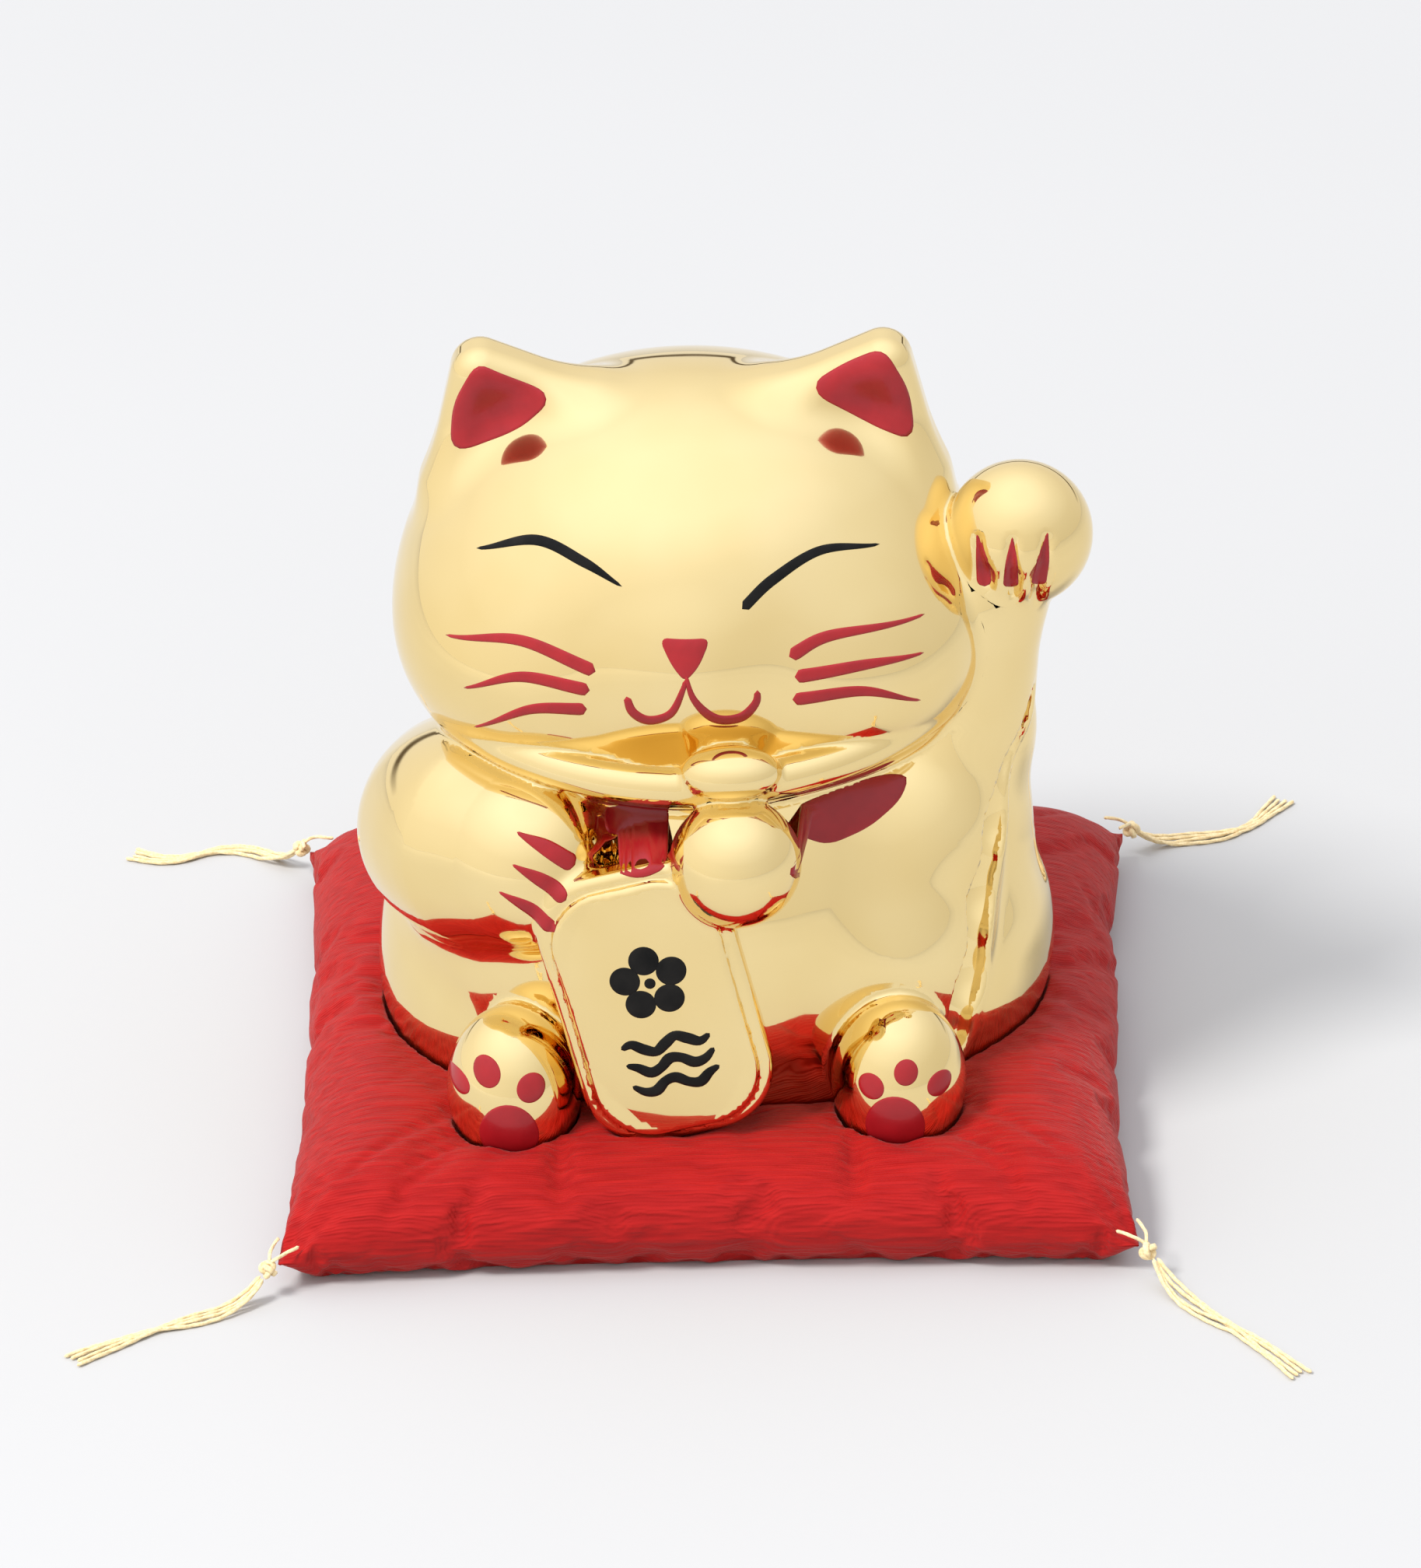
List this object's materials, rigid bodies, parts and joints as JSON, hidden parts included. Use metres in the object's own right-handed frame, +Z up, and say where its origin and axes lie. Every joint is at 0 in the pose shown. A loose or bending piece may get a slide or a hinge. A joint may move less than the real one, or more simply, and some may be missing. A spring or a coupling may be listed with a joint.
{
  "type": "beckoning cat figurine",
  "caption": "Hollow gold-glazed ceramic beckoning cat with one raised paw and a tablet, resting on a red padded cushion with tasselled corners.",
  "frame": {"origin": "centre of the cushion's flat underside", "axes": "+Z up, the cat faces -Y, +X towards the cat's own left, where the raised paw is"},
  "size_m": [0.1722, 0.1652, 0.1174],
  "materials": {
    "gold_glaze": "mirror-bright gold lustre over glazed ceramic",
    "red_enamel": "glossy overglaze enamel",
    "black_enamel": "glossy overglaze enamel",
    "cushion_cloth": "ribbed satin weave, soft sheen",
    "wadding": "loose white wadding",
    "tassel_thread": "twisted pale yellow thread"
  },
  "bodies": {
    "cushion": {"cushion_top_panel": "cushion_cloth", "cushion_bottom_panel": "cushion_cloth", "cushion_filling": "wadding", "corner_knot_front_right": "tassel_thread", "corner_knot_front_left": "tassel_thread", "corner_knot_back_right": "tassel_thread", "corner_knot_back_left": "tassel_thread", "tassel_front_right": "tassel_thread", "tassel_front_left": "tassel_thread", "tassel_back_right": "tassel_thread", "tassel_back_left": "tassel_thread"},
    "cat": {"torso_shell": "gold_glaze", "head_shell": "gold_glaze", "ear_right": "gold_glaze", "ear_left": "gold_glaze", "ear_enamel_right": "red_enamel", "ear_enamel_left": "red_enamel", "raised_arm": "gold_glaze", "raised_paw": "gold_glaze", "raised_claw_enamel": "red_enamel", "holding_arm": "gold_glaze", "holding_claw_enamel": "red_enamel", "foot_right": "gold_glaze", "foot_left": "gold_glaze", "foot_enamel_right": "red_enamel", "foot_enamel_left": "red_enamel", "tablet": "gold_glaze", "tablet_mark": "black_enamel", "bell": "gold_glaze", "collar_cord": "gold_glaze", "collar_knot": "gold_glaze", "bib_enamel": "red_enamel", "eye_enamel": "black_enamel", "nose_enamel": "red_enamel", "mouth_enamel": "red_enamel", "whisker_enamel_right": "red_enamel", "whisker_enamel_left": "red_enamel", "tail": "gold_glaze"}
  },
  "joints": [
    {"name": "cat_lift", "type": "slide", "parent": "cushion", "child": "cat", "axis": [0, 0, 1], "range_m": [0, 0.15]}
  ]
}
